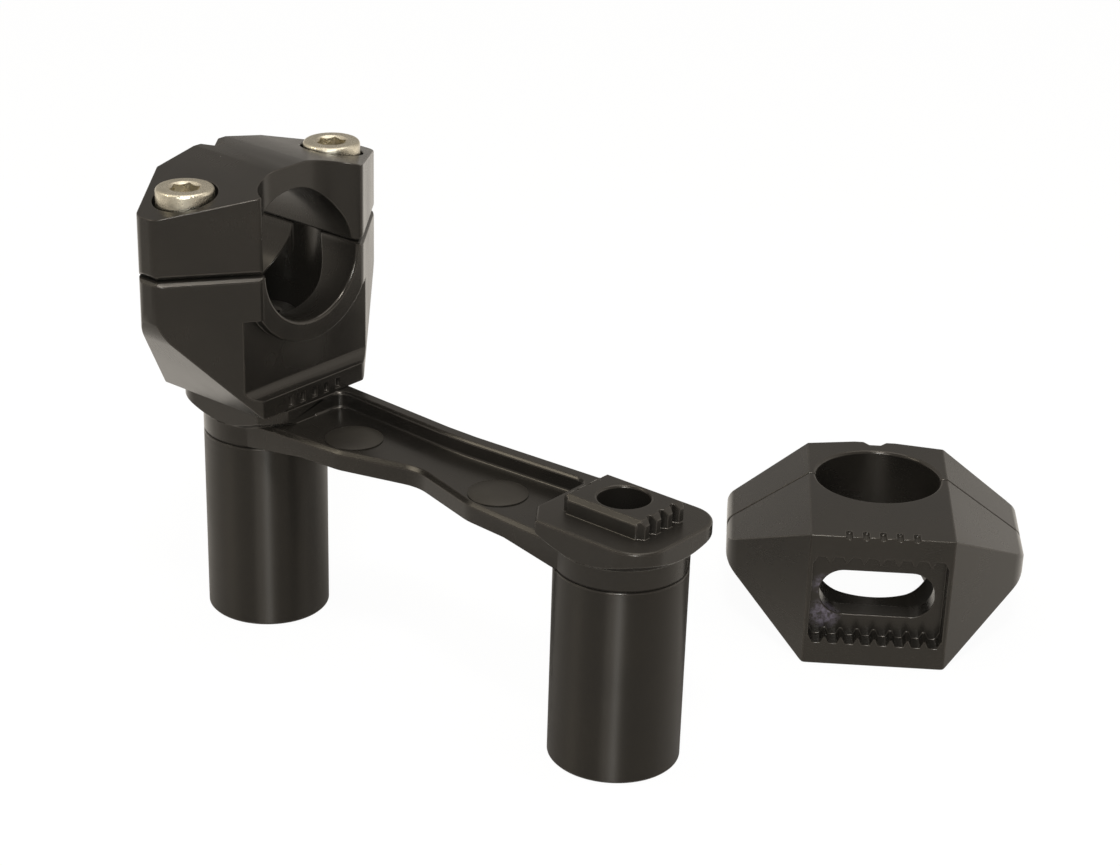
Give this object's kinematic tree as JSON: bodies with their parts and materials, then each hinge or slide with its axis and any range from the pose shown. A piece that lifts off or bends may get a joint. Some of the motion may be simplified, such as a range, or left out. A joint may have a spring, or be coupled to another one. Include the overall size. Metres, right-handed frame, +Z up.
{
  "type": "motorcycle bar riser",
  "caption": "Handlebar riser set: round posts joined by a bridge, one slotted bar clamp seated on a toothed block, its twin standing loose beside it.",
  "frame": {"origin": "midway between the two posts, in the plane of their lower ends", "axes": "+X along the bridge from the post with the seated clamp to the bare post, which is also the handlebar's axis there; +Y towards the bridge's rail; +Z up along the posts"},
  "size_m": [0.1555, 0.1634, 0.1095],
  "materials": {
    "anodised_bridge": "satin black anodised, machined",
    "anodised_post": "satin black anodised, turned",
    "anodised_plug": "satin black anodised, turned",
    "anodised_clamp": "satin black anodised, machined",
    "screw_steel": "stainless, slightly rough"
  },
  "bodies": {
    "root": {"bridge": "anodised_bridge", "left_riser_post": "anodised_post", "right_riser_post": "anodised_post", "left_web_plug": "anodised_plug", "right_web_plug": "anodised_plug", "left_clamp_base": "anodised_clamp", "left_clamp_cap": "anodised_clamp", "left_cap_screw_front": "screw_steel", "left_cap_screw_rear": "screw_steel", "left_mount_bolt": "screw_steel", "loose_clamp_base": "anodised_clamp", "loose_clamp_cap": "anodised_clamp", "loose_cap_screw_front": "screw_steel", "loose_cap_screw_rear": "screw_steel"}
  },
  "joints": []
}
